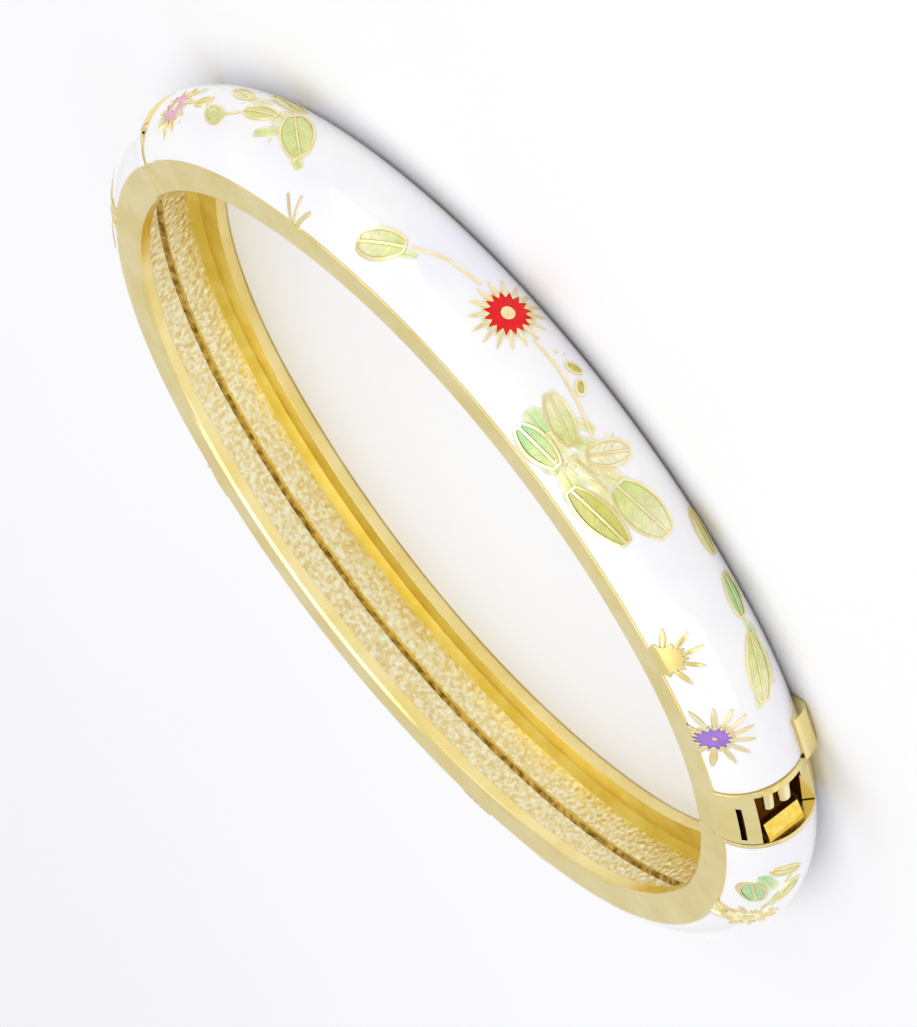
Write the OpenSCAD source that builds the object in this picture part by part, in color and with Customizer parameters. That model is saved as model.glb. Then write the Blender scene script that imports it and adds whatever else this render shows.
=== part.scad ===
// A hinged oval bangle: two cast halves with enamel on the outer face, joined by a
// pinned hinge at one end and a tongue clasp with a thumb tab at the other.
// It lies on its side. X runs from the hinge to the clasp, Y towards the upper half,
// and Z is the axis that the wrist goes along. Angles are the direction that a point
// of the oval faces, counted from +X. The origin is the middle of the ring, on the floor.

/* [Wrist opening] */
// Inside length of the oval, from the hinge side to the clasp side
inner_length = 60; // [58:0.5:66]
// Inside width of the oval
inner_width = 52; // [46:0.5:54]

/* [Band] */
// Width of the band, edge to edge
band_width = 8; // [8:0.25:9]
// Depth of the band, from the wrist side to the crown of the enamel
band_depth = 5.5; // [5.4:0.05:5.8]
// Depth of the flat side walls
wall_depth = 2.35; // [2.2:0.05:2.5]
// Depth of the enamel in its recess
enamel_depth = 0.5; // [0.4:0.05:0.6]
// Width of the metal rim beside the enamel, out from the side wall
rim_width = 0.2; // [0.15:0.05:0.3]
// Depth of the channel on the wrist side
channel_depth = 2.6; // [2.2:0.1:2.7]
// Thickness of the metal on each side of the channel
lip_width = 1; // [0.9:0.05:1.2]

/* [Joints] */
// Direction of the clasp's joint face, and of the hinge's joint face from -X
joint_angle = 20; // [18:0.5:21]
// How far the upper half opens
open_angle = 45; // [30:1:50]
// Radius of the hinge pin
pin_radius = 0.5; // [0.4:0.05:0.6]
// Radius of the hinge knuckles
knuckle_radius = 1.2; // [1.1:0.05:1.3]

/* [Ornament] */
// Width of a raised metal line
line_width = 0.18; // [0.16:0.01:0.26]
// Height of a raised line over the enamel
line_raise = 0.08; // [0.05:0.01:0.12]
// Gap between enamel and metal
fit_gap = 0.03; // [0.02:0.005:0.05]

/* [Hidden] */
$fn = 96;

// The oval is four arcs that run smoothly into each other. Their centres lie on the axes.
oval_step = (inner_length - inner_width) / 2;
end_shift = 1.5 * oval_step;
side_shift = 2 * oval_step;
end_radius = inner_length / 2 - end_shift;
side_radius = inner_width / 2 + side_shift;
seam_angle = atan2(side_shift, end_shift);
// The arcs stop this many degrees short of a seam, and a rib of this width covers it
seam_apart = 0.1;
seam_rib = 0.3;
seam_grow = 0.012;

// The enamel's crown is one arc across the band
mid_height = band_width / 2;
crown_rise = band_depth - wall_depth;
crown_radius = (mid_height * mid_height + crown_rise * crown_rise) / (2 * crown_rise);
crown_centre = band_depth - crown_radius;
recess_start = wall_depth + rim_width;
recess_ends = 0.8;
beyond = 1;

// Directions along the band
clasp_face = joint_angle;
hinge_face = 180 - joint_angle;
joint_gap = 0.25;
enamel_from_face = 10.6;
tab_start = clasp_face + enamel_from_face;
tab_length = 7.2;

// Hinge, in the frame of its joint face
pin_depth = 3.6;
knuckle_gap = 0.1;
knuckle_low = 1.4;
knuckle_high = band_width - 1.4;
knuckle_third = (knuckle_high - knuckle_low) / 3;
relief_angle = open_angle / 2 + 0.5;

// Clasp window in the upper half, and the lower half's tongue
window_floor = 1.6;
window_length = 4.95;
window_low = 2.5;
window_high = 6.25;
tongue_low = 2.7;
tongue_high = 5.75;
tongue_floor = 3.9;
tongue_top = 4.9;
tongue_length = 1.3;

// Leaves: direction, height, length, width, turn
upper_leaf_rows = [
    [80.9, 7.05, 3.5, 1.20, 6],
    [81.6, 5.05, 3.6, 1.45, -12],
    [76.2, 3.75, 2.9, 1.60, 64],
    [69.9, 4.10, 4.6, 2.55, 14],
    [71.7, 6.62, 4.9, 1.45, 10],
    [84.9, 1.90, 1.0, 0.50, 30],
    [82.9, 2.50, 0.9, 0.50, -40],
    [48.4, 2.60, 4.6, 1.70, -16],
    [57.2, 1.50, 3.0, 1.10, -8],
    [64.2, 0.95, 3.2, 0.90, -4],
    [107.2, 5.90, 3.3, 1.80, 28],
    [124.3, 3.70, 4.4, 2.20, -32],
    [131.9, 3.70, 2.8, 1.20, 14],
    [132.2, 1.45, 4.2, 1.10, -8],
    [139.6, 5.25, 2.2, 1.00, -12],
    [144.4, 4.55, 1.5, 0.70, 20],
    [139.4, 2.70, 2.6, 0.90, -10]
];
// Stems: direction and height of one end, direction and height of the other
upper_stem_rows = [
    [78.2, 4.10, 81.6, 3.45],
    [81.6, 3.45, 85.4, 2.95],
    [85.4, 2.95, 89.4, 2.90],
    [104.5, 4.80, 101.0, 3.60],
    [101.0, 3.60, 97.0, 3.15],
    [78.1, 5.90, 73.4, 5.40],
    [135.0, 4.45, 137.4, 5.00],
    [141.8, 5.10, 143.0, 4.85],
    [146.4, 4.75, 147.6, 4.95],
    [119.0, 7.95, 120.2, 7.10],
    [118.4, 7.95, 118.3, 6.80],
    [117.8, 7.95, 116.4, 7.20]
];
// Flowers: direction, height, eye radius, petal radius, ray radius, number of rays
red_flower_rows = [[93, 3.1, 0.5, 1.5, 2.7, 16]];
violet_flower_rows = [[41.9, 7.15, 0.12, 0.85, 2.5, 14]];
pink_flower_rows = [[151, 5.3, 0.35, 1.2, 2.0, 10]];
gold_flower_rows = [[55.2, 7.75, 1.0, 1.0, 2.4, 10]];
upper_flower_rows = concat(
    red_flower_rows, violet_flower_rows, pink_flower_rows, gold_flower_rows
);

// The lower half carries one sprig beside the clasp, and the same sprig further round
sprig_directions = [6, -62, -110, 196];
sprig_leaves = [[0.8, 0.5, 2.6, 1.2, 8], [-0.8, -1.7, 2.6, 1.1, -30], [5.6, -1.5, 2.2, 0.9, 60]];
sprig_stems = [[-3.6, -0.5, -5.6, -0.1], [2.2, -1.5, 3.9, -1.9]];
sprig_flower = [-9, 0.4, 0.4, 1.1, 2.1, 12];
sprig_height = 6.3;
lower_leaf_rows = [
    for (d = sprig_directions, r = sprig_leaves) [d + r[0], sprig_height + r[1], r[2], r[3], r[4]]
];
lower_stem_rows = [
    for (d = sprig_directions, r = sprig_stems)
        [d + r[0], sprig_height + r[1], d + r[2], sprig_height + r[3]]
];
lower_flower_rows = [
    for (d = sprig_directions)
        let (r = sprig_flower) [d + r[0], sprig_height + r[1], r[2], r[3], r[4], r[5]]
];

gold = "goldenrod";
white = "whitesmoke";
leaf_green = "yellowgreen";

// Places along the oval

function on_side(t) = abs(sin(t)) > sin(seam_angle);
function arc_centre(t) =
    on_side(t) ? [0, -sign(sin(t)) * side_shift, 0] : [sign(cos(t)) * end_shift, 0, 0];
function arc_radius(t) = on_side(t) ? side_radius : end_radius;
function seams_between(a, b) = [
    for (s = [seam_angle, 180 - seam_angle, 180 + seam_angle, 360 - seam_angle])
        if (s > a && s < b) s
];

// X points away from the wrist and Y along the band, from the inner face
module at(t) {
    translate(arc_centre(t)) rotate([0, 0, t]) translate([arc_radius(t), 0, 0]) children();
}

// Carries a section, drawn with X outwards from the inner face, along the oval. Where two
// arcs meet, a thin rib of the second section, a hair larger, ties them together.
module sweep(a, b) {
    seams = seams_between(a, b);
    stops = concat([a], seams, [b]);
    for (i = [0:len(stops) - 2]) {
        first = stops[i] + (i > 0 ? seam_apart : 0);
        last = stops[i + 1] - (i < len(stops) - 2 ? seam_apart : 0);
        middle = (first + last) / 2;
        translate(arc_centre(middle)) rotate([0, 0, first])
            rotate_extrude(angle = last - first, $fn = 240)
                translate([arc_radius(middle), 0]) children(0);
    }
    for (seam = seams)
        at(seam) rotate([90, 0, 0]) linear_extrude(seam_rib, center = true) children(1);
}

// One of the oval's four arcs, run on a little past its seams, for outlines that cross them
function arc_number(t) = on_side(t) ? (sin(t) > 0 ? 1 : 3) : (cos(t) > 0 ? 0 : 2);
module whole_arc(number) {
    overrun = 7;
    middle = number * 90;
    reach = (number % 2 == 0 ? seam_angle : 90 - seam_angle) + overrun;
    translate(arc_centre(middle)) rotate([0, 0, middle - reach])
        rotate_extrude(angle = 2 * reach, $fn = 240)
            translate([arc_radius(middle), 0]) children();
}

// Presses a flat outline through the band from outside, its X along the band
module stamp(t, height, turn = 0) {
    at(t) translate([0, 0, height]) rotate([90, 0, 90]) rotate([0, 0, turn])
        linear_extrude(band_depth + beyond) children();
}

// Sections

module crown(radius) {
    translate([crown_centre, mid_height]) circle(r = radius, $fn = 240);
}

module solid_section(grow = 0) {
    edge = 0.2 - grow;
    polygon([
        [edge - grow, 0], [wall_depth, 0], [wall_depth, band_width], [edge - grow, band_width],
        [-grow, band_width - edge], [-grow, edge]
    ]);
    intersection() {
        crown(crown_radius + grow);
        translate([wall_depth / 2, 0]) square([band_depth + grow, band_width]);
    }
}

module recess_section(gap = 0) {
    difference() {
        translate([recess_start + gap, -beyond]) square([band_depth, band_width + 2 * beyond]);
        crown(crown_radius - enamel_depth + gap);
    }
}

module enamel_section(grow = 0) {
    intersection() {
        recess_section(fit_gap - grow);
        crown(crown_radius + grow);
    }
}

module line_section() {
    sunk = 0.2;
    edge = 0.03;
    intersection() {
        difference() {
            crown(crown_radius + line_raise);
            crown(crown_radius - enamel_depth - sunk);
        }
        translate([recess_start - 0.1, edge]) square([band_depth, band_width - 2 * edge]);
    }
}

// The floor has a low ridge along its middle
module channel_section(grow = 0) {
    low = lip_width - grow;
    high = band_width - low;
    floor_depth = channel_depth + grow;
    bevel = 0.6;
    ridge = 0.3;
    polygon([
        [-beyond - grow, low], [floor_depth - bevel, low], [floor_depth, low + bevel],
        [floor_depth, mid_height - ridge], [floor_depth - ridge, mid_height],
        [floor_depth, mid_height + ridge], [floor_depth, high - bevel],
        [floor_depth - bevel, high], [-beyond - grow, high]
    ]);
}

// Ornament outlines, X along the band and Y across it

module pointed_oval(length, width) {
    r = (length * length + width * width) / (4 * width);
    intersection() {
        translate([0, r - width / 2]) circle(r = r);
        translate([0, width / 2 - r]) circle(r = r);
    }
}

// An oval with blunt ends, grown all round
module blunt_oval(length, width, grow) {
    intersection() {
        pointed_oval(1.25 * (length + 2 * grow), width + 2 * grow);
        circle(r = length / 2 + grow);
    }
}

module leaf_blank(row, grow) {
    blunt_oval(row[2], row[3], line_width + grow);
}

module leaf_cells(row, inset) {
    vein = row[3] > 0.6 ? line_width * 0.8 : 0;
    difference() {
        blunt_oval(row[2], row[3], -inset);
        if (vein > 0) square([row[2] + 1, vein + 2 * inset], center = true);
    }
}

// Ring of sharp petals
module star(tips, radius, grow) {
    polygon([
        for (i = [0:2 * tips - 1])
            let (reach = i % 2 == 0 ? 1.15 * radius + 2 * grow : 0.82 * radius + grow)
                reach * [cos(i * 180 / tips), sin(i * 180 / tips)]
    ]);
}

module flower_blank(row, grow) {
    star(row[5], row[3], line_width / 2 + grow);
    ray_start = 0.8 * row[3];
    ray_length = row[4] - ray_start;
    for (i = [0:row[5] - 1])
        rotate([0, 0, (i + 0.5) * 360 / row[5]])
            translate([ray_start + ray_length / 2, 0])
                pointed_oval(ray_length + 2 * grow, line_width * 1.5 + 2 * grow);
}

module flower_cells(row, inset) {
    difference() {
        star(row[5], row[3], -inset);
        circle(r = row[2] + inset);
    }
}

module stem(row, grow) {
    turn_between = (row[0] + row[2]) / 2;
    along = (row[2] - row[0]) * PI / 180 * (arc_radius(turn_between) + band_depth);
    across = row[3] - row[1];
    stamp(turn_between, (row[1] + row[3]) / 2, atan2(across, along))
        square([norm([along, across]), line_width + 2 * grow], center = true);
}

// What the raised lines cover, for the white enamel to leave free
module ornament_blanks(leaves, stems, flowers) {
    for (row = leaves) stamp(row[0], row[1], row[4]) leaf_blank(row, fit_gap);
    for (row = stems) stem(row, fit_gap);
    for (row = flowers) stamp(row[0], row[1]) flower_blank(row, fit_gap);
}

function rows_on(number, rows) = [for (row = rows) if (arc_number(row[0]) == number) row];

module raised_lines(leaves, stems, flowers) {
    for (number = [0:3])
        if (len(rows_on(number, concat(leaves, stems, flowers))) > 0) intersection() {
            whole_arc(number) line_section();
            union() {
                for (row = rows_on(number, leaves)) stamp(row[0], row[1], row[4]) difference() {
                    leaf_blank(row, 0);
                    leaf_cells(row, 0);
                }
                for (row = rows_on(number, stems)) stem(row, 0);
                for (row = rows_on(number, flowers)) stamp(row[0], row[1]) difference() {
                    flower_blank(row, 0);
                    if (row[2] < row[3]) flower_cells(row, 0);
                }
            }
        }
}

module leaf_enamel(leaves) {
    for (number = [0:3])
        if (len(rows_on(number, leaves)) > 0) intersection() {
            whole_arc(number) enamel_section();
            for (row = rows_on(number, leaves)) stamp(row[0], row[1], row[4])
                leaf_cells(row, fit_gap);
        }
}

module petal_enamel(flowers) {
    for (number = [0:3])
        if (len(rows_on(number, flowers)) > 0) intersection() {
            whole_arc(number) enamel_section();
            for (row = rows_on(number, flowers)) stamp(row[0], row[1])
                flower_cells(row, fit_gap);
        }
}

// Hinge pieces, X away from the wrist and Y towards the upper half, from the pin's axis

module at_pin() {
    at(hinge_face) translate([pin_depth, 0, 0]) mirror([0, 1, 0]) children();
}

module hinge_room(side) {
    reach = band_depth + beyond;
    at_pin() mirror([0, side < 0 ? 1 : 0, 0]) {
        translate([0, 0, knuckle_low - knuckle_gap])
            cylinder(r = knuckle_radius + knuckle_gap, h = knuckle_high - knuckle_low + 2 * knuckle_gap);
        translate([0, 0, -beyond]) linear_extrude(band_width + 2 * beyond)
            polygon([[0, 0], [reach, 0], [reach, reach * tan(relief_angle)]]);
    }
}

module knuckle(side, from, height, bore) {
    web_top = 0.2;
    web_length = knuckle_radius + 0.8;
    at_pin() mirror([0, side < 0 ? 1 : 0, 0]) difference() {
        translate([0, 0, from]) {
            cylinder(r = knuckle_radius, h = height);
            translate([-knuckle_radius, 0, 0])
                cube([knuckle_radius + web_top, web_length, height]);
        }
        translate([0, 0, from - beyond]) cylinder(r = bore, h = height + 2 * beyond);
    }
}

// The window is open outwards and towards the lower half. A sloped sill runs along its low
// side, and a narrow slit beside its high side.
module clasp_window() {
    sill_length = 4.3;
    sill_low = 1.95;
    slit_length = 3.4;
    at(clasp_face) {
        translate([window_floor, -beyond, window_low])
            cube([band_depth, beyond + window_length, window_high - window_low]);
        translate([0, sill_length, 0]) rotate([90, 0, 0])
            linear_extrude(sill_length + beyond) polygon([
                [window_floor + 0.15, sill_low], [3.9, sill_low], [5.48, -0.2], [6.5, -0.2],
                [6.5, window_low + 0.5], [window_floor + 0.15, window_low + 0.5]
            ]);
        translate([2.9, 0.5, 7.03]) cube([band_depth, slit_length, 0.27]);
    }
}

// Two round stops at the far end of the window
module clasp_fittings() {
    stop_length = 1.3;
    for (stop = [[5.35, 0.4, 4.72], [4.1, 0.5, 4.8]])
        at(clasp_face) translate([stop[2], window_length + 0.3, stop[0]]) rotate([90, 0, 0])
            cylinder(r = stop[1], h = stop_length + 0.3);
}

// A short plate with a sloped face that stands in the window when the clasp is shut
module clasp_tongue() {
    root = 0.3;
    at(clasp_face) translate([0, 0, tongue_low]) linear_extrude(tongue_high - tongue_low)
        polygon([
            [tongue_floor, -root], [tongue_top, -root], [tongue_top, 0.15],
            [tongue_top - 0.5, tongue_length], [tongue_floor, tongue_length]
        ]);
}

// The tab's outline across the band, grown for its slot
module tab_outline(grow) {
    floor_depth = 2.8;
    polygon([
        [floor_depth - 6 * grow, 0.06 - 10 * grow], [4.35, 0.06 - 10 * grow], [4.8, 0.45],
        [5.2 + 10 * grow, 1.4], [5.2 + 10 * grow, 1.75 + grow],
        [floor_depth - 6 * grow, 1.75 + grow]
    ]);
}

// Nodes

module lower_shell() {
    a = hinge_face + joint_gap / 2;
    b = 360 + clasp_face - joint_gap / 2;
    channel_ends = [hinge_face + 12, 360];
    color(gold) difference() {
        union() {
            difference() {
                sweep(a, b) { solid_section(); solid_section(seam_grow); }
                sweep(a + 3.4, b - recess_ends) { recess_section(); recess_section(-seam_grow); }
                sweep(channel_ends[0], channel_ends[1]) {
                    channel_section();
                    channel_section(seam_grow);
                }
                channel_end(channel_ends[0], -1);
                channel_end(channel_ends[1], 1);
                hinge_room(-1);
            }
            raised_lines(lower_leaf_rows, lower_stem_rows, lower_flower_rows);
            knuckle(-1, knuckle_low, knuckle_third, pin_radius + 0.02);
            knuckle(-1, knuckle_high - knuckle_third, knuckle_third, pin_radius + 0.02);
            clasp_tongue();
        }
        pin_bore(pin_radius + 0.02);
    }
}

module upper_shell() {
    a = clasp_face + joint_gap / 2;
    b = hinge_face - joint_gap / 2;
    channel_ends = [clasp_face + 20, hinge_face - 12];
    color(gold) difference() {
        union() {
            difference() {
                sweep(a, b) { solid_section(); solid_section(seam_grow); }
                sweep(a + enamel_from_face, b - 3.4) {
                    recess_section();
                    recess_section(-seam_grow);
                }
                sweep(channel_ends[0], channel_ends[1]) {
                    channel_section();
                    channel_section(seam_grow);
                }
                channel_end(channel_ends[0], -1);
                channel_end(channel_ends[1], 1);
                hinge_room(1);
                clasp_window();
                tab_slot();
            }
            raised_lines(upper_leaf_rows, upper_stem_rows, upper_flower_rows);
            knuckle(1, knuckle_low + knuckle_third + knuckle_gap, knuckle_third - 2 * knuckle_gap,
                pin_radius + 0.05);
            clasp_fittings();
        }
        pin_bore(pin_radius + 0.05);
    }
}

// Rounded end of the channel, a little shallower and narrower than the channel itself
module channel_end(t, way) {
    long = 2.2;
    round = 1.4;
    low = lip_width + 0.03 - mid_height;
    high = -low;
    at(t) translate([-beyond, 0, mid_height]) rotate([90, 0, 90])
        linear_extrude(channel_depth - 0.1 + beyond) mirror([way < 0 ? 1 : 0, 0]) polygon(concat(
            [[-0.6, low], [long - round, low]],
            [for (i = [1:3])
                [long - round + round * sin(i * 22.5), low + round - round * cos(i * 22.5)]],
            [[long, low + round], [long, high - round]],
            [for (i = [3:-1:1])
                [long - round + round * sin(i * 22.5), high - round + round * cos(i * 22.5)]],
            [[long - round, high], [-0.6, high]]
        ));
}

module pin_bore(radius) {
    at_pin() translate([0, 0, knuckle_low - knuckle_gap])
        cylinder(r = radius, h = knuckle_high - knuckle_low + 2 * knuckle_gap);
}

module tab_slot() {
    swing = 0.35;
    translate(arc_centre(tab_start)) rotate([0, 0, tab_start - swing])
        rotate_extrude(angle = tab_length + 2 * swing, $fn = 240)
            translate([end_radius, 0]) tab_outline(0.12);
}

module lower_enamel() {
    a = hinge_face + joint_gap / 2 + 3.4 + 0.06;
    b = 360 + clasp_face - joint_gap / 2 - recess_ends - 0.06;
    color(white) difference() {
        sweep(a, b) { enamel_section(); enamel_section(seam_grow); }
        ornament_blanks(lower_leaf_rows, lower_stem_rows, lower_flower_rows);
    }
}

module upper_enamel() {
    a = clasp_face + joint_gap / 2 + enamel_from_face + 0.06;
    b = hinge_face - joint_gap / 2 - 3.4 - 0.06;
    color(white) difference() {
        sweep(a, b) { enamel_section(); enamel_section(seam_grow); }
        ornament_blanks(upper_leaf_rows, upper_stem_rows, upper_flower_rows);
        tab_slot();
    }
}

module lower_leaves() {
    color(leaf_green) leaf_enamel(lower_leaf_rows);
}

module upper_leaves() {
    color(leaf_green) leaf_enamel(upper_leaf_rows);
}

module lower_petals() {
    color("khaki") petal_enamel(lower_flower_rows);
}

module upper_red_petals() {
    color("crimson") petal_enamel(red_flower_rows);
}

module upper_violet_petals() {
    color("mediumpurple") petal_enamel(violet_flower_rows);
}

module upper_pink_petals() {
    color("plum") petal_enamel(pink_flower_rows);
}

module hinge_pin() {
    color("lightgoldenrodyellow") at_pin() translate([0, 0, knuckle_low])
        cylinder(r = pin_radius, h = knuckle_high - knuckle_low);
}

module clasp_tab() {
    color(gold) translate(arc_centre(tab_start)) rotate([0, 0, tab_start])
        rotate_extrude(angle = tab_length, $fn = 240)
            translate([end_radius, 0]) tab_outline(0);
}

lower_shell();
lower_enamel();
lower_leaves();
lower_petals();
hinge_pin();
upper_shell();
upper_enamel();
upper_leaves();
upper_red_petals();
upper_violet_petals();
upper_pink_petals();
clasp_tab();
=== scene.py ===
import bpy
import math
from mathutils import Matrix, Vector


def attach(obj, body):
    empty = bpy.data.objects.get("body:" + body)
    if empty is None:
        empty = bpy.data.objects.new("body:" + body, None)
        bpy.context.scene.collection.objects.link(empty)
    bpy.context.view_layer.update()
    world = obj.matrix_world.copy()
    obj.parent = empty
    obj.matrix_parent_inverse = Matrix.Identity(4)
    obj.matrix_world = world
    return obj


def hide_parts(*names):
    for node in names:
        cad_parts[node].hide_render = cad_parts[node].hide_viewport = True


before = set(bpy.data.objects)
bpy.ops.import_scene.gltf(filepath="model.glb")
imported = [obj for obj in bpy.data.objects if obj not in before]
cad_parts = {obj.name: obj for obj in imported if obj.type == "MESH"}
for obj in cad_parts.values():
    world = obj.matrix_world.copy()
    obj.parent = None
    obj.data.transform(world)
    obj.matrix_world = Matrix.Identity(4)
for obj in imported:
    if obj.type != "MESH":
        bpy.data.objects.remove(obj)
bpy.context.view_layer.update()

# The castings are the band's two halves, cast in zinc alloy and plated with gold. Their outer face
# is polished, the raised lines carry a painted highlight of paler gold, and the channel's floor is
# left rough from the mould. Lengths are in millimetres, and directions in degrees round the oval
# from the clasp side.
PER_METRE = 1000
END_SHIFT, SIDE_SHIFT = 6.0, 8.0
END_RADIUS, SIDE_RADIUS = 24.0, 34.0
ARC_SEAM = SIDE_SHIFT / math.hypot(END_SHIFT, SIDE_SHIFT)
BAND_WIDTH, BAND_DEPTH, WALL_DEPTH = 8.0, 5.5, 2.35
MIDDLE = BAND_WIDTH / 2
CROWN_RISE = BAND_DEPTH - WALL_DEPTH
CROWN_RADIUS = (MIDDLE ** 2 + CROWN_RISE ** 2) / (2 * CROWN_RISE)
CROWN_CENTRE = BAND_DEPTH - CROWN_RADIUS
COAT_ROUGHNESS = 0.03
SHADE_FROM, SHADE_TO = 0.35, 0.65
DRIFT_FROM, DRIFT_TO = 0.3, 0.7
FULL_LEVEL, SCREEN_GAMMA = 255, 2.2


def tone(red, green, blue):
    """Linear colour of an 8-bit screen colour."""
    return tuple((v / FULL_LEVEL) ** SCREEN_GAMMA for v in (red, green, blue)) + (1.0,)


def finish_of(name, color, metallic, roughness, coat=0.0):
    """Plain finish of one colour, which the functions below make uneven."""
    made = bpy.data.materials.new(name)
    made.use_nodes = True
    shader = made.node_tree.nodes["Principled BSDF"]
    shader.inputs["Base Color"].default_value = color
    shader.inputs["Metallic"].default_value = metallic
    shader.inputs["Roughness"].default_value = roughness
    shader.inputs["Coat Weight"].default_value = coat
    shader.inputs["Coat Roughness"].default_value = COAT_ROUGHNESS
    return made


def lumps(material, grain, detail, kind="ShaderNodeTexNoise"):
    """Pattern of soft lumps or pebbles of a size in millimetres."""
    tree = material.node_tree
    where = tree.nodes.new("ShaderNodeTexCoord")
    pattern = tree.nodes.new(kind)
    pattern.inputs["Scale"].default_value = PER_METRE / grain
    pattern.inputs["Detail"].default_value = detail
    tree.links.new(where.outputs["Object"], pattern.inputs["Vector"])
    return pattern.outputs[0]


def drift(material, grain, low, high, detail):
    """Value that drifts between two limits over lumps of a size."""
    tree = material.node_tree
    span = tree.nodes.new("ShaderNodeMapRange")
    span.inputs["From Min"].default_value = DRIFT_FROM
    span.inputs["From Max"].default_value = DRIFT_TO
    span.inputs["To Min"].default_value = low
    span.inputs["To Max"].default_value = high
    tree.links.new(lumps(material, grain, detail), span.inputs["Value"])
    return span.outputs["Result"]


def add_bump(material, grain, height, edge=0.0, detail=2.0, kind="ShaderNodeTexNoise"):
    """Uneven surface of lumps of a size and a height, with edges rounded by a radius."""
    tree = material.node_tree
    bump = tree.nodes.new("ShaderNodeBump")
    bump.inputs["Strength"].default_value = 1.0
    bump.inputs["Distance"].default_value = height / PER_METRE
    tree.links.new(lumps(material, grain, detail, kind), bump.inputs["Height"])
    if edge:
        rounded = tree.nodes.new("ShaderNodeBevel")
        rounded.inputs["Radius"].default_value = edge / PER_METRE
        tree.links.new(rounded.outputs["Normal"], bump.inputs["Normal"])
    tree.links.new(bump.outputs["Normal"], tree.nodes["Principled BSDF"].inputs["Normal"])


def add_shades(material, grain, low, high, detail=2.0):
    """Colour that drifts between two shades."""
    tree = material.node_tree
    ramp = tree.nodes.new("ShaderNodeValToRGB")
    dark, light = ramp.color_ramp.elements
    dark.position, dark.color = SHADE_FROM, low
    light.position, light.color = SHADE_TO, high
    tree.links.new(lumps(material, grain, detail), ramp.inputs["Fac"])
    tree.links.new(ramp.outputs["Color"], tree.nodes["Principled BSDF"].inputs["Base Color"])


def add_polish(material, grain, low, high, detail=4.0):
    """Roughness that drifts between two values."""
    tree = material.node_tree
    roughness = tree.nodes["Principled BSDF"].inputs["Roughness"]
    tree.links.new(drift(material, grain, low, high, detail), roughness)


polished_gold = finish_of("polished_gold", tone(249, 230, 160), metallic=1.0, roughness=0.18)
add_bump(polished_gold, grain=1.6, height=0.006, edge=0.09)
add_shades(polished_gold, grain=4.0, low=tone(244, 222, 142), high=tone(252, 236, 172))
add_polish(polished_gold, grain=2.2, low=0.12, high=0.24)

cast_gold = finish_of("cast_gold", tone(250, 238, 190), metallic=1.0, roughness=0.36)
add_bump(cast_gold, grain=0.5, height=-0.06, detail=0.0, kind="ShaderNodeTexVoronoi")
add_shades(cast_gold, grain=0.35, low=tone(236, 212, 142), high=tone(255, 254, 226), detail=3.0)

# The crease in the channel's floor is given a darker gold: painted shade that falls into the
# crease.
crease_painted_shade = finish_of("crease_painted_shade", tone(168, 140, 80), metallic=1.0, roughness=0.45)
add_bump(crease_painted_shade, grain=0.4, height=0.04)
add_shades(crease_painted_shade, grain=0.6, low=tone(138, 112, 62), high=tone(238, 214, 146), detail=3.0)

# The raised lines are given a paler gold than the polished face: a painted highlight where they
# catch the light.
line_gold_painted_highlight = finish_of("line_gold_painted_highlight", tone(253, 236, 178), metallic=1.0, roughness=0.3)
add_bump(line_gold_painted_highlight, grain=0.5, height=0.02, edge=0.05)
add_shades(line_gold_painted_highlight, grain=1.2, low=tone(248, 226, 160), high=tone(255, 244, 200))

channel_gold = finish_of("channel_gold", tone(246, 223, 112), metallic=1.0, roughness=0.42)
add_bump(channel_gold, grain=1.1, height=0.012, edge=0.09)
add_shades(channel_gold, grain=2.5, low=tone(240, 213, 96), high=tone(252, 232, 130))

# The clasp's hollow and its slit are given a dark brown gold: painted shade, where little light
# reaches.
clasp_hollow_painted_shade = finish_of("clasp_hollow_painted_shade", tone(120, 66, 30), metallic=1.0, roughness=0.35)
add_bump(clasp_hollow_painted_shade, grain=0.5, height=0.03)
add_shades(clasp_hollow_painted_shade, grain=0.9, low=tone(96, 48, 24), high=tone(150, 92, 40))

plate_gold = finish_of("plate_gold", tone(253, 216, 92), metallic=1.0, roughness=0.22)
add_bump(plate_gold, grain=0.5, height=0.02, edge=0.06)
add_shades(plate_gold, grain=0.7, low=tone(246, 202, 72), high=tone(255, 228, 120))

# Each part of a casting lies between two directions, two depths out from the inner face and two
# heights across the band. A floor faces the wrist, and the crease's sides lean away from that.
# The half flower at the edge is polished like the rim.
WINDOW_DIRECTIONS, SLIT_DIRECTIONS = (20.0, 31.0), (20.0, 28.5)
PLATE_DEPTH = 3.8
HOLLOW_DEPTHS, HOLLOW_HEIGHTS = (1.5, 3.95), (1.9, 6.3)
SLIT_BELOW_CROWN, SLIT_HEIGHTS = 0.1, (7.0, 7.35)
FLOOR_DEPTHS, FLOOR_HEIGHTS, FLOOR_FACING = (1.7, 2.7), (1.7, 6.3), -0.2
CREASE_HEIGHTS, CREASE_FACING = (4.0, 4.31), -0.9
CHANNEL_DEPTHS, CHANNEL_HEIGHTS = (0.05, 2.7), (0.9, 7.1)
LINES_FROM_DEPTH, LINES_OVER_CROWN = 2.3, 0.02
HALF_FLOWER_DIRECTIONS, HALF_FLOWER_HEIGHT = (51, 59), 5.4


def band_place(point):
    """Direction, depth and height of a point given in metres."""
    x, y, z = (PER_METRE * v for v in point)
    cx, cy, radius = END_SHIFT * (1 if x > 0 else -1), 0.0, END_RADIUS
    if abs(math.sin(math.atan2(y, x - cx))) > ARC_SEAM:
        cx, cy, radius = 0.0, -math.copysign(SIDE_SHIFT, y), SIDE_RADIUS
    return math.degrees(math.atan2(y - cy, x - cx)), math.hypot(x - cx, y - cy) - radius, z


def between(value, limits):
    """Whether a value lies between two limits."""
    return limits[0] < value < limits[1]


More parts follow.
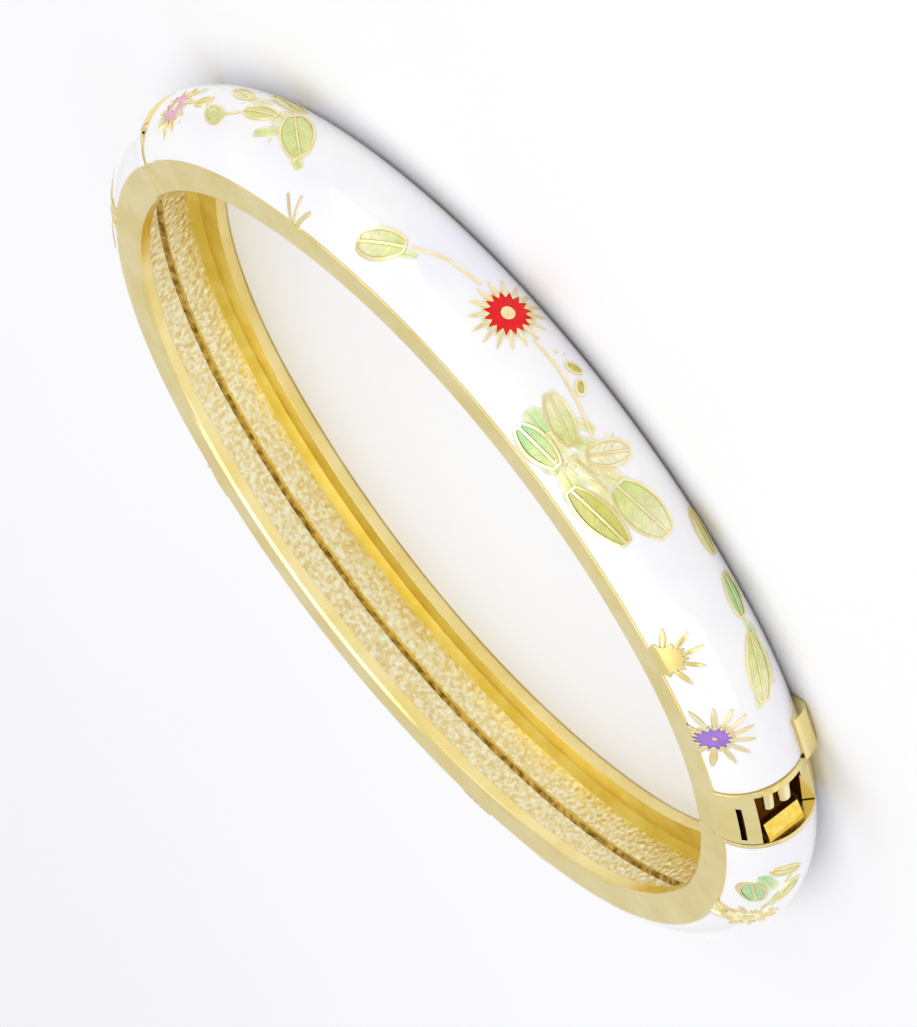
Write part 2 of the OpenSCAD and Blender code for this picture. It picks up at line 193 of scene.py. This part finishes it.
def finish_at(casting, face):
    """Finish of one face of a casting, from where it lies and how it faces."""
    direction, depth, height = band_place(face.center)
    outward = Vector((math.cos(math.radians(direction)), math.sin(math.radians(direction)), 0))
    facing = face.normal.dot(outward)
    over_crown = math.hypot(depth - CROWN_CENTRE, height - MIDDLE) - CROWN_RADIUS
    at_window = between(direction % 360, WINDOW_DIRECTIONS)
    in_hollow = between(depth, HOLLOW_DEPTHS) and between(height, HOLLOW_HEIGHTS)
    in_slit = between(direction, SLIT_DIRECTIONS) and between(height, SLIT_HEIGHTS)
    at_floor = between(depth, FLOOR_DEPTHS)
    on_half_flower = between(direction, HALF_FLOWER_DIRECTIONS) and height > HALF_FLOWER_HEIGHT
    if casting == "lower_shell" and at_window and depth > PLATE_DEPTH:
        return plate_gold
    # The clasp's hollow and slit take the dark brown of painted shade.
    if casting == "upper_shell" and at_window and in_hollow:
        return clasp_hollow_painted_shade
    if in_slit and over_crown < -SLIT_BELOW_CROWN:
        return clasp_hollow_painted_shade
    # The crease's sides take the darker gold of painted shade.
    if at_floor and between(height, CREASE_HEIGHTS) and facing > CREASE_FACING:
        return crease_painted_shade
    if at_floor and between(height, FLOOR_HEIGHTS) and facing < FLOOR_FACING:
        return cast_gold
    if between(depth, CHANNEL_DEPTHS) and between(height, CHANNEL_HEIGHTS):
        return channel_gold
    # The raised lines take the paler gold of a painted highlight.
    if depth > LINES_FROM_DEPTH and over_crown > LINES_OVER_CROWN and not on_half_flower:
        return line_gold_painted_highlight
    return polished_gold


casting_finishes = [
    polished_gold, cast_gold, line_gold_painted_highlight, channel_gold, clasp_hollow_painted_shade, plate_gold, crease_painted_shade
]
for casting in ("lower_shell", "upper_shell"):
    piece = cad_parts[casting]
    piece.data.materials.clear()
    for finish in casting_finishes:
        piece.data.materials.append(finish)
    for face in piece.data.polygons:
        face.material_index = casting_finishes.index(finish_at(casting, face))

# The white enamel fills the recess in each half's outer face. It is poured, fired and polished
# to the metal's crown, with a soft edge along the gold rim and a slight swell in its surface.
# Beside the hinge it runs out to a thin coat over the metal.
UPPER_CLASP_SIDE, LOWER_CLASP_SIDE, HINGE_FACE = 30.75, 379.0, 160.0
PIN_DEPTH, RELIEF, JOINT_GAP, HINGE_DEPTH = 3.6, 23.0, 0.22, 4.5
GOLD_RIM = 0.2
CROWN_SPREAD = math.acos((WALL_DEPTH + GOLD_RIM - CROWN_CENTRE) / CROWN_RADIUS)
EDGE_TURN, EDGE_DIP, CLASP_DIP, HINGE_DIP = 0.16, 0.12, 0.22, 0.035
RECESS_BEFORE_HINGE, COAT_LEAD, COAT_RUN = 3.5, 0.3, 0.4
ENAMEL_DEPTH, COAT_DEPTH, COAT_RISE = 0.42, 0.02, 0.03
ROW_STEP, ACROSS_CROWN, ACROSS_RECESS = 0.6, 44, 14


def arc_at(direction):
    """Centre and inner radius of the oval's arc that faces this direction."""
    c, s = math.cos(math.radians(direction)), math.sin(math.radians(direction))
    if abs(s) > ARC_SEAM:
        return 0.0, -math.copysign(SIDE_SHIFT, s), SIDE_RADIUS
    return math.copysign(END_SHIFT, c), 0.0, END_RADIUS


def spot(direction, depth, height, along=0.0):
    """Point at a depth out from the inner face, at a height, and some way along the band."""
    x, y, radius = arc_at(direction)
    angle = math.radians(direction) + math.asin(along / (radius + depth))
    reach = radius + depth
    return Vector((x + reach * math.cos(angle), y + reach * math.sin(angle), height)) / PER_METRE


def crown_depth(height):
    """Depth of the polished crown at a height across the band."""
    return CROWN_CENTRE + math.sqrt(CROWN_RADIUS ** 2 - (height - MIDDLE) ** 2)


def joined_mesh(name, points, faces, material):
    """Piece with smooth shading in one material."""
    data = bpy.data.meshes.new(name)
    data.from_pydata(points, [], faces)
    data.materials.append(material)
    data.update()
    for face in data.polygons:
        face.use_smooth = True
    made = bpy.data.objects.new(name, data)
    bpy.context.scene.collection.objects.link(made)
    return made


def hinge_setback(height):
    """Way along the band from the hinge's joint face to the edge of the enamel."""
    over_pin = max(0.0, crown_depth(height) - PIN_DEPTH)
    return over_pin * math.tan(math.radians(RELIEF)) + JOINT_GAP


def outer_radius(slope, coat, at_clasp, at_hinge):
    """Radius of the enamel's outer skin, which dips at each edge."""
    from_edge = (CROWN_SPREAD - abs(slope)) * CROWN_RADIUS
    dip = EDGE_DIP * max(0.0, 1 - from_edge / EDGE_TURN) ** 2
    if at_clasp:
        dip += CLASP_DIP
    radius = CROWN_RADIUS - dip * (1 - coat) + COAT_RISE * coat
    return radius - HINGE_DIP if at_hinge else radius


def enamel_skin(name, clasp_side, way, material):
    """Closed skin over the crown from the clasp to the hinge, and back along the recess."""
    rows = round(abs(HINGE_FACE - clasp_side) / ROW_STEP)
    slopes = [CROWN_SPREAD * (2 * j / ACROSS_CROWN - 1) for j in range(ACROSS_CROWN + 1)]
    slopes += [CROWN_SPREAD * (1 - 2 * j / ACROSS_RECESS) for j in range(ACROSS_RECESS + 1)]
    ring = len(slopes)
    points, faces = [], []
    for i in range(rows + 1):
        for j, slope in enumerate(slopes):
            setback = hinge_setback(MIDDLE + CROWN_RADIUS * math.sin(slope))
            last = HINGE_FACE - way * math.degrees(setback / (END_RADIUS + HINGE_DEPTH))
            direction = clasp_side + (last - clasp_side) * i / rows
            past_recess = RECESS_BEFORE_HINGE + COAT_LEAD - abs(HINGE_FACE - direction)
            coat = min(1.0, max(0.0, past_recess / COAT_RUN))
            if j <= ACROSS_CROWN:
                radius = outer_radius(slope, coat, i == 0, i == rows)
            else:
                radius = CROWN_RADIUS - ENAMEL_DEPTH * (1 - coat) - COAT_DEPTH * coat
            depth, height = radius * math.cos(slope), radius * math.sin(slope)
            points.append(spot(direction, CROWN_CENTRE + depth, MIDDLE + height))
    for i in range(rows):
        for j in range(ring):
            a, b = i * ring + j, i * ring + (j + 1) % ring
            quad = (a, a + ring, b + ring, b)
            faces.append(quad if way > 0 else quad[::-1])
    first, final = tuple(range(ring)), tuple(range(rows * ring, (rows + 1) * ring))
    faces.append(first if way > 0 else first[::-1])
    faces.append(final[::-1] if way > 0 else final)
    return joined_mesh(name, points, faces, material)


white_enamel = finish_of(
    "white_enamel", tone(246, 245, 246), metallic=0.0, roughness=0.14, coat=0.6
)
add_bump(white_enamel, grain=5.0, height=0.02, detail=1.0)
add_shades(white_enamel, grain=7.0, low=tone(241, 240, 247), high=tone(248, 247, 245), detail=3.0)
add_polish(white_enamel, grain=3.0, low=0.10, high=0.20)

upper_white = enamel_skin("upper_white_enamel", UPPER_CLASP_SIDE, 1, white_enamel)
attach(upper_white, "upper_half")
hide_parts("upper_enamel")

lower_white = enamel_skin("lower_white_enamel", LOWER_CLASP_SIDE, -1, white_enamel)
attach(lower_white, "lower_half")
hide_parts("lower_enamel")

# The leaves are cells of green enamel on each side of a gold midrib. The enamel is laid in wet,
# so yellow-green runs into mint in some of them, and it climbs a little at its edges.
LIME, PALE_LIME, CREAM_LIME = tone(212, 222, 134), tone(238, 235, 186), tone(246, 241, 208)
MINT, OLIVE, WHITE = tone(166, 212, 142), tone(200, 198, 96), tone(246, 245, 242)
LINE_WIDTH = 0.18
# the halves of a narrow leaf or of a wash nearly meet, with no midrib between them
MIDRIB_HALF, HALF_GAP, NARROW_LEAF = LINE_WIDTH * 0.4, 0.004, 0.6
BLUNTNESS, LEAF_END, COLOR_RUN = 1.25, 0.995, 1.4
BAND_EDGE = 0.07
CELL_LIFT, CELL_CLIMB, CLIMB_POWER, CELL_THICKNESS = 0.018, 0.03, 3, 0.05
WASH_LIFT, WASH_STEP, WASH_STEPS = 0.008, 0.0015, 6
WASH_RIPPLE, RIPPLE_RUN, RIPPLE_SHIFT, WASH_FADE = 0.10, 9, 40, 5
ALONG_LEAF, ACROSS_LEAF = 20, 5
UPPER_LEAVES = [
    # direction, height, length, width, turn, colour at the clasp end, colour at the hinge end
    (80.9, 7.05, 3.5, 1.20, 6, LIME, MINT),
    (81.6, 5.05, 3.6, 1.45, -12, LIME, PALE_LIME),
    (76.2, 3.75, 2.9, 1.60, 64, CREAM_LIME, PALE_LIME),
    (69.9, 4.10, 4.6, 2.55, 14, PALE_LIME, LIME),
    (71.7, 6.62, 4.9, 1.45, 10, OLIVE, OLIVE),
    (84.9, 1.90, 1.0, 0.50, 30, OLIVE, OLIVE),
    (82.9, 2.50, 0.9, 0.50, -40, OLIVE, OLIVE),
    (48.4, 2.60, 4.6, 1.70, -16, PALE_LIME, LIME),
    (57.2, 1.50, 3.0, 1.10, -8, MINT, MINT),
    (64.2, 0.95, 3.2, 0.90, -4, LIME, PALE_LIME),
    (107.2, 5.90, 3.3, 1.80, 28, LIME, PALE_LIME),
    (124.3, 3.70, 4.4, 2.20, -32, LIME, LIME),
    (131.9, 3.70, 2.8, 1.20, 14, LIME, LIME),
    (132.2, 1.45, 4.2, 1.10, -8, LIME, PALE_LIME),
    (139.6, 5.25, 2.2, 1.00, -12, LIME, LIME),
    (144.4, 4.55, 1.5, 0.70, 20, PALE_LIME, LIME),
    (139.4, 2.70, 2.6, 0.90, -10, LIME, PALE_LIME),
]
SPRIG_DIRECTIONS = (6, -62, -110, 196)
SPRIG_HEIGHT = 6.3
SPRIG_LEAVES = [
    # the same, with direction and height from the sprig's own
    (0.8, 0.5, 2.6, 1.2, 8, MINT, MINT),
    (-0.8, -1.7, 2.6, 1.1, -30, LIME, MINT),
    (5.6, -1.5, 2.2, 0.9, 60, LIME, PALE_LIME),
]


def on_crown(direction, height, x, y, turn, lift):
    """Point of a flat outline that is laid on the crown, lifted off it."""
    c, s = math.cos(math.radians(turn)), math.sin(math.radians(turn))
    z = min(max(height + x * s + y * c, BAND_EDGE), BAND_WIDTH - BAND_EDGE)
    return spot(direction, crown_depth(z) + lift, z, x * c - y * s)


def half_width(x, length, width):
    """Half the width of a leaf with blunt ends, some way from its middle."""
    full = BLUNTNESS * length
    radius = (full ** 2 + width ** 2) / (4 * width)
    side = math.sqrt(max(radius ** 2 - x ** 2, 0)) - radius + width / 2
    return max(0.0, min(side, math.sqrt(max(length ** 2 / 4 - x ** 2, 0))))


def edge_climb(part):
    """Rise of a cell's enamel at a part of its width, highest at both edges."""
    return CELL_CLIMB * abs(2 * part - 1) ** CLIMB_POWER


def paint(made, colors):
    """Glaze colours of a piece, one for each point."""
    layer = made.data.color_attributes.new("glaze", "FLOAT_COLOR", "POINT")
    for item, color in zip(layer.data, colors):
        item.color = color


def give_thickness(made):
    """Solid layer that goes down into the crown."""
    layer = made.modifiers.new("thickness", "SOLIDIFY")
    layer.thickness, layer.offset = CELL_THICKNESS / PER_METRE, -1.0
    layer.use_even_offset = False


def leaf_cells(name, rows, material, ribbed=True):
    """Leaves in two parts beside a midrib, or whole washes that fade out to white."""
    points, faces, colors = [], [], []
    step = ACROSS_LEAF + 1
    for number, (direction, height, length, width, turn, first, last) in enumerate(rows):
        rib = MIDRIB_HALF if ribbed and width > NARROW_LEAF else HALF_GAP
        lift = CELL_LIFT if ribbed else WASH_LIFT + WASH_STEP * (number % WASH_STEPS)
        for side in (-1, 1):
            start = len(points)
            for i in range(ALONG_LEAF + 1):
                x = -length / 2 * math.cos(math.pi * i / ALONG_LEAF) * LEAF_END
                reach = max(half_width(x, length, width), rib)
                if not ribbed:
                    wave = RIPPLE_RUN * x / length + side * RIPPLE_SHIFT * height
                    reach *= 1 + WASH_RIPPLE * math.sin(wave)
                mix = min(1.0, max(0.0, 0.5 + COLOR_RUN * x / length))
                glaze = [a + (b - a) * mix for a, b in zip(first, last)]
                for j in range(ACROSS_LEAF + 1):
                    part = j / ACROSS_LEAF
                    y = rib + (reach - rib) * part
                    over = lift + edge_climb(part) if ribbed else lift
                    points.append(on_crown(direction, height, x, side * y, turn, over))
                    to_edge = 0.0 if ribbed else max(part, abs(2 * i / ALONG_LEAF - 1))
                    fade = to_edge ** WASH_FADE
                    colors.append([a + (b - a) * fade for a, b in zip(glaze, WHITE)])
            for i in range(ALONG_LEAF):
                for j in range(ACROSS_LEAF):
                    a = start + i * step + j
                    quad = (a, a + step, a + step + 1, a + 1)
                    faces.append(quad if side > 0 else quad[::-1])
    made = joined_mesh(name, points, faces, material)
    paint(made, colors)
    give_thickness(made)
    return made


def on_sprigs(rows):
    """Rows of one sprig, set at each place where the sprig is repeated."""
    return [
        (sprig + row[0], SPRIG_HEIGHT + row[1], *row[2:])
        for sprig in SPRIG_DIRECTIONS for row in rows
    ]


def glazed(name, coat, shine):
    """Glossy enamel that takes its colour from the piece's own glaze colours."""
    made = finish_of(name, tone(255, 255, 255), metallic=0.0, roughness=0.14, coat=coat)
    tree = made.node_tree
    shader = tree.nodes["Principled BSDF"]
    shader.inputs["Specular IOR Level"].default_value = shine
    attribute = tree.nodes.new("ShaderNodeVertexColor")
    attribute.layer_name = "glaze"
    tint = tree.nodes.new("ShaderNodeHueSaturation")
    tree.links.new(drift(made, grain=0.7, low=0.86, high=1.1, detail=3.0), tint.inputs["Value"])
    tree.links.new(attribute.outputs["Color"], tint.inputs["Color"])
    tree.links.new(tint.outputs["Color"], shader.inputs["Base Color"])
    add_bump(made, grain=0.9, height=0.02, detail=1.0)
    return made


leaf_enamel = glazed("leaf_enamel", coat=0.6, shine=0.5)
upper_leaves = leaf_cells("upper_leaf_enamel", UPPER_LEAVES, leaf_enamel)
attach(upper_leaves, "upper_half")
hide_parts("upper_leaves")

lower_leaves = leaf_cells("lower_leaf_enamel", on_sprigs(SPRIG_LEAVES), leaf_enamel)
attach(lower_leaves, "lower_half")
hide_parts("lower_leaves")

# The broad leaves have side veins of fine gold wire laid in the enamel. They slant away from the
# middle of the spray that the leaf belongs to, and taper to their tips.
SPRAY_MIDDLES = (52.5, 77.0, 104.0, 127.5)
BROAD_LEAF = 1.15
VEIN_WIDTH, VEIN_RISE, VEIN_LIFT, VEIN_TAPER = 0.075, 0.035, 0.02, 0.6
VEIN_PAIRS, FIRST_VEIN, VEIN_SPACING, VEIN_SLANT = 4, 0.33, 0.17, 0.30
VEIN_START, VEIN_REACH, VEIN_BEND = 0.10, 0.88, 1.3
VEIN_STEPS, VEIN_SIDES = 6, 6


def side_veins(name, rows, material):
    """Pairs of tapering wires beside the midrib of each leaf."""
    points, faces = [], []
    for direction, height, length, width, turn, _, _ in rows:
        spray = min(SPRAY_MIDDLES, key=lambda middle: abs(middle - direction))
        way = 1 if direction > spray else -1
        for k in range(VEIN_PAIRS):
            root = way * length * (VEIN_SPACING * k - FIRST_VEIN)
            tip = root + way * VEIN_SLANT * width
            reach = VEIN_REACH * half_width(tip, length, width)
            for side in (-1, 1):
                start = len(points)
                for i in range(VEIN_STEPS + 1):
                    part = i / VEIN_STEPS
                    x = root + (tip - root) * part ** VEIN_BEND
                    y = reach * (VEIN_START + (1 - VEIN_START) * part)
                    slim = 1 - VEIN_TAPER * part
                    for j in range(VEIN_SIDES):
                        angle = 2 * math.pi * j / VEIN_SIDES
                        shifted = x - way * VEIN_WIDTH / 2 * slim * math.cos(angle)
                        lift = VEIN_LIFT + VEIN_RISE * slim * math.sin(angle)
                        points.append(on_crown(direction, height, shifted, side * y, turn, lift))
                for i in range(VEIN_STEPS):
                    for j in range(VEIN_SIDES):
                        a = start + i * VEIN_SIDES + j
                        b = start + i * VEIN_SIDES + (j + 1) % VEIN_SIDES
                        quad = (a, b, b + VEIN_SIDES, a + VEIN_SIDES)
                        faces.append(quad if side * way > 0 else quad[::-1])
                root_cap = tuple(range(start, start + VEIN_SIDES))
                tip_cap = tuple(corner + VEIN_STEPS * VEIN_SIDES for corner in root_cap)
                faces.append(root_cap[::-1] if side * way > 0 else root_cap)
                faces.append(tip_cap if side * way > 0 else tip_cap[::-1])
    return joined_mesh(name, points, faces, material)


broad_leaves = [row for row in UPPER_LEAVES if row[3] > BROAD_LEAF]
# The veins share the raised lines' paler gold, a painted highlight.
veins = side_veins("upper_leaf_veins", broad_leaves, line_gold_painted_highlight)
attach(veins, "upper_half")

# Beside the leaves, paler green washes of enamel run out over the white without a line round
# them. They are brushed on thinly and lie a little lower than the leaves.
SAND, DEW = tone(236, 228, 160), tone(220, 232, 168)
UPPER_WASHES = [
    # direction, height, length, width, turn, colour at the clasp end, colour at the hinge end
    (82.4, 6.30, 2.8, 1.7, 0, MINT, DEW),
    (79.6, 6.35, 2.4, 1.6, -14, DEW, SAND),
    (79.0, 7.15, 2.6, 0.9, 8, LIME, MINT),
    (78.2, 4.75, 2.4, 1.2, 40, PALE_LIME, LIME),
    (76.7, 5.60, 2.8, 1.2, 20, SAND, PALE_LIME),
    (75.6, 6.85, 2.6, 1.4, -6, LIME, SAND),
    (73.9, 4.55, 2.6, 1.5, 30, PALE_LIME, SAND),
    (74.2, 5.75, 2.4, 0.9, -4, SAND, PALE_LIME),
    (77.6, 6.30, 2.2, 1.3, 60, SAND, SAND),
    (75.4, 5.80, 2.2, 1.2, 20, SAND, PALE_LIME),
    (72.6, 5.65, 2.6, 0.9, 0, PALE_LIME, SAND),
    (79.8, 4.05, 1.8, 0.9, 30, SAND, PALE_LIME),
    (45.6, 3.30, 2.6, 1.1, -30, PALE_LIME, DEW),
    (47.6, 1.70, 3.2, 0.9, -6, PALE_LIME, SAND),
    (51.0, 2.30, 2.4, 1.1, -12, LIME, DEW),
    (52.6, 1.70, 2.6, 0.9, 4, MINT, DEW),
    (127.9, 3.15, 2.6, 1.7, 4, LIME, PALE_LIME),
    (127.4, 4.65, 2.6, 1.1, 30, SAND, LIME),
    (121.6, 5.20, 1.8, 1.1, -30, LIME, PALE_LIME),
    (134.6, 2.75, 2.4, 1.2, 12, PALE_LIME, SAND),
    (104.3, 5.35, 1.6, 0.7, 30, DEW, DEW),
    (149.2, 3.70, 2.2, 1.1, 10, SAND, LIME),
    (152.8, 6.40, 1.8, 0.9, -20, SAND, DEW),
]
SPRIG_WASHES = [(3.4, -0.3, 2.6, 1.3, 20, DEW, MINT), (-3.0, -0.9, 2.2, 0.8, 0, LIME, DEW)]

upper_washes = leaf_cells("upper_green_washes", UPPER_WASHES, leaf_enamel, ribbed=False)
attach(upper_washes, "upper_half")

lower_washes = leaf_cells(
    "lower_green_washes", on_sprigs(SPRIG_WASHES), leaf_enamel, ribbed=False
)
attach(lower_washes, "lower_half")

# Small gold grains are set among the leaves and the washes, like seeds. Each is a low dome of
# the same paler gold as the raised lines, a painted highlight.
RISE_TO_RADIUS = 0.7
AROUND_GRAIN, GRAIN_LEVELS = 10, 4
GRAINS = [
    # direction, height, radius
    (78.6, 6.75, 0.15), (78.0, 6.30, 0.17), (77.4, 6.70, 0.13), (77.1, 6.15, 0.15),
    (78.7, 6.10, 0.12), (79.2, 5.65, 0.12), (77.8, 5.70, 0.14), (76.4, 6.35, 0.12),
    (75.3, 5.05, 0.16), (74.6, 4.55, 0.13), (77.9, 3.15, 0.11), (77.4, 2.75, 0.11),
    (76.6, 2.55, 0.11), (75.7, 2.60, 0.11), (75.0, 2.95, 0.11), (74.5, 3.40, 0.11),
    (126.3, 5.15, 0.13), (127.2, 2.10, 0.12), (129.3, 2.55, 0.12), (136.6, 3.60, 0.11),
    (147.2, 6.35, 0.11), (153.4, 3.95, 0.12), (87.2, 2.20, 0.13), (86.6, 1.75, 0.11),
]


def gold_grains(name, places, material):
    """Small domes of gold, each at a direction and a height, with a radius."""
    points, faces = [], []
    for direction, height, radius in places:
        start = len(points)
        for k in range(GRAIN_LEVELS):
            rise = math.pi / 2 * k / GRAIN_LEVELS
            reach, lift = radius * math.cos(rise), radius * RISE_TO_RADIUS * math.sin(rise)
            for i in range(AROUND_GRAIN):
                angle = 2 * math.pi * i / AROUND_GRAIN
                x, y = reach * math.cos(angle), reach * math.sin(angle)
                points.append(on_crown(direction, height, x, y, 0, lift))
        points.append(on_crown(direction, height, 0, 0, 0, radius * RISE_TO_RADIUS))
        for k in range(GRAIN_LEVELS - 1):
            for i in range(AROUND_GRAIN):
                a = start + k * AROUND_GRAIN + i
                b = start + k * AROUND_GRAIN + (i + 1) % AROUND_GRAIN
                faces.append((a, b, b + AROUND_GRAIN, a + AROUND_GRAIN))
        top = start + GRAIN_LEVELS * AROUND_GRAIN
        last_ring = top - AROUND_GRAIN
        for i in range(AROUND_GRAIN):
            faces.append((last_ring + i, last_ring + (i + 1) % AROUND_GRAIN, top))
        faces.append(tuple(reversed(range(start, start + AROUND_GRAIN))))
    return joined_mesh(name, points, faces, material)


grains = gold_grains("upper_gold_grains", GRAINS, line_gold_painted_highlight)
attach(grains, "upper_half")

# The flowers are rings of coloured enamel with ragged edges, fired between a gold eye and a fan
# of fine gold rays. The lower half has one cream flower on each sprig.
RED, VIOLET = tone(232, 10, 18), tone(158, 120, 208)
PINK, CREAM = tone(228, 168, 200), tone(250, 238, 180)
SHORT_POINT, LONG_POINT = 0.82, 1.15
POINT_STEPS, ACROSS_PETAL = 4, 5
UPPER_FLOWERS = [
    # name, direction, height, eye radius, petal radius, points, colour, node, slot
    ("red_flower", 93, 3.1, 0.5, 1.5, 16, RED, "upper_red_petals", "red_enamel"),
    ("violet_flower", 41.9, 7.15, 0.12, 0.85, 14, VIOLET, "upper_violet_petals", "violet_enamel"),
    ("pink_flower", 151, 5.3, 0.35, 1.2, 10, PINK, "upper_pink_petals", "pink_enamel"),
]
# direction and height from the sprig's own, eye radius, petal radius, points
SPRIG_FLOWER = (-9, 0.4, 0.4, 1.1, 12)


def petal_ring(name, direction, height, eye, petal, tips, color, material):
    """Ring of enamel from the eye out to an edge of short and long points."""
    points, faces = [], []
    around, step = 2 * tips * POINT_STEPS, ACROSS_PETAL + 1
    corners = []
    for k in range(2 * tips + 1):
        angle = math.pi * k / tips
        reach = petal * (SHORT_POINT if k % 2 else LONG_POINT)
        corners.append(reach * Vector((math.cos(angle), math.sin(angle))))
    for i in range(around):
        corner, part = divmod(i, POINT_STEPS)
        edge = corners[corner].lerp(corners[corner + 1], part / POINT_STEPS)
        inner = edge.normalized() * eye
        for j in range(step):
            place = inner.lerp(edge, j / ACROSS_PETAL)
            lift = CELL_LIFT + edge_climb(j / ACROSS_PETAL)
            points.append(on_crown(direction, height, place.x, place.y, 0, lift))
    for i in range(around):
        for j in range(ACROSS_PETAL):
            a, b = i * step + j, (i + 1) % around * step + j
            faces.append((a, a + 1, b + 1, b))
    made = joined_mesh(name, points, faces, material)
    paint(made, [color] * len(points))
    give_thickness(made)
    return made


petal_enamel = glazed("petal_enamel", coat=0.15, shine=0.25)
for name, direction, height, eye, petal, tips, color, node, slot in UPPER_FLOWERS:
    flower = petal_ring(name, direction, height, eye, petal, tips, color, petal_enamel)
    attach(flower, "upper_half")
    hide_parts(node)

for number, (direction, height, *sizes) in enumerate(on_sprigs([SPRIG_FLOWER])):
    name = "lower_flower_%d" % (number + 1)
    flower = petal_ring(name, direction, height, *sizes, CREAM, petal_enamel)
    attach(flower, "lower_half")
    if number == 0:
        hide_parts("lower_petals")

# The hinge pin is a plated steel wire. It is pushed through the three knuckles on the joint face,
# and holds the two halves together.
plated_wire = finish_of("plated_wire", tone(235, 214, 150), metallic=1.0, roughness=0.25)
add_bump(plated_wire, grain=0.2, height=0.004)
add_shades(plated_wire, grain=1.0, low=tone(228, 204, 136), high=tone(240, 222, 164))
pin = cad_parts["hinge_pin"]
pin.data.materials.clear()
pin.data.materials.append(plated_wire)

# The clasp tab is a small cast slider with smooth edges, plated like the halves. It slides in a
# slot at the edge of the upper half, beside the clasp.
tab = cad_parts["clasp_tab"]
tab.data.materials.clear()
tab.data.materials.append(polished_gold)

# The floor is a plain pale sheet that the bangle lies on. The light comes from large soft boxes
# and a white studio round them. Lengths here are in metres, and power is in watts.
FLOOR_SIZE, STUDIO_LIGHT = 6, 0.75
SOFT_BOXES = [
    # name, place, width, height, power
    ("top_light", (0.05, 0.10, 0.60), 0.5, 0.5, 1.2),
    ("side_light", (-0.55, 0.45, 0.35), 0.35, 0.5, 0.8),
    ("clasp_light", (0.60, 0.30, 0.25), 0.3, 0.4, 0.5),
]

bpy.ops.mesh.primitive_plane_add(size=FLOOR_SIZE, location=(0, 0, 0))
floor = bpy.context.object
floor.name = "floor"
pale_floor = finish_of("pale_floor", tone(244, 244, 246), metallic=0.0, roughness=0.7)
add_polish(pale_floor, grain=60.0, low=0.6, high=0.8, detail=2.0)
floor.data.materials.append(pale_floor)

studio = bpy.data.worlds.new("studio")
studio.use_nodes = True
studio.node_tree.nodes["Background"].inputs["Color"].default_value = (1.0, 1.0, 1.0, 1.0)
studio.node_tree.nodes["Background"].inputs["Strength"].default_value = STUDIO_LIGHT
bpy.context.scene.world = studio

for name, place, width, height, power in SOFT_BOXES:
    light = bpy.data.lights.new(name, "AREA")
    light.shape = "RECTANGLE"
    light.size, light.size_y, light.energy = width, height, power
    soft_box = bpy.data.objects.new(name, light)
    soft_box.location = place
    soft_box.rotation_euler = (-Vector(place)).to_track_quat("-Z", "Y").to_euler()
    bpy.context.scene.collection.objects.link(soft_box)

# The camera looks down on the bangle from the side of its upper half, and is tilted so that the
# clasp is at the lower right.
CAMERA_PLACE, CAMERA_AIM = Vector((0.1320, 0.6037, 0.2138)), Vector((0.0, 0.0, 0.004))
CAMERA_RIGHT = Vector((0.6267, 0.0800, -0.7751))
LENS, SENSOR = 330, 36
NEAREST, FARTHEST = 0.05, 20

lens = bpy.data.cameras.new("camera")
lens.sensor_width, lens.lens = SENSOR, LENS
lens.clip_start, lens.clip_end = NEAREST, FARTHEST
camera = bpy.data.objects.new("camera", lens)
bpy.context.scene.collection.objects.link(camera)
forward = (CAMERA_AIM - CAMERA_PLACE).normalized()
right = (CAMERA_RIGHT - forward * CAMERA_RIGHT.dot(forward)).normalized()
up = right.cross(forward)
tilt = Matrix((right, up, -forward)).transposed().to_4x4()
camera.matrix_world = Matrix.Translation(CAMERA_PLACE) @ tilt
bpy.context.scene.camera = camera
bpy.context.scene.view_settings.view_transform = "Standard"
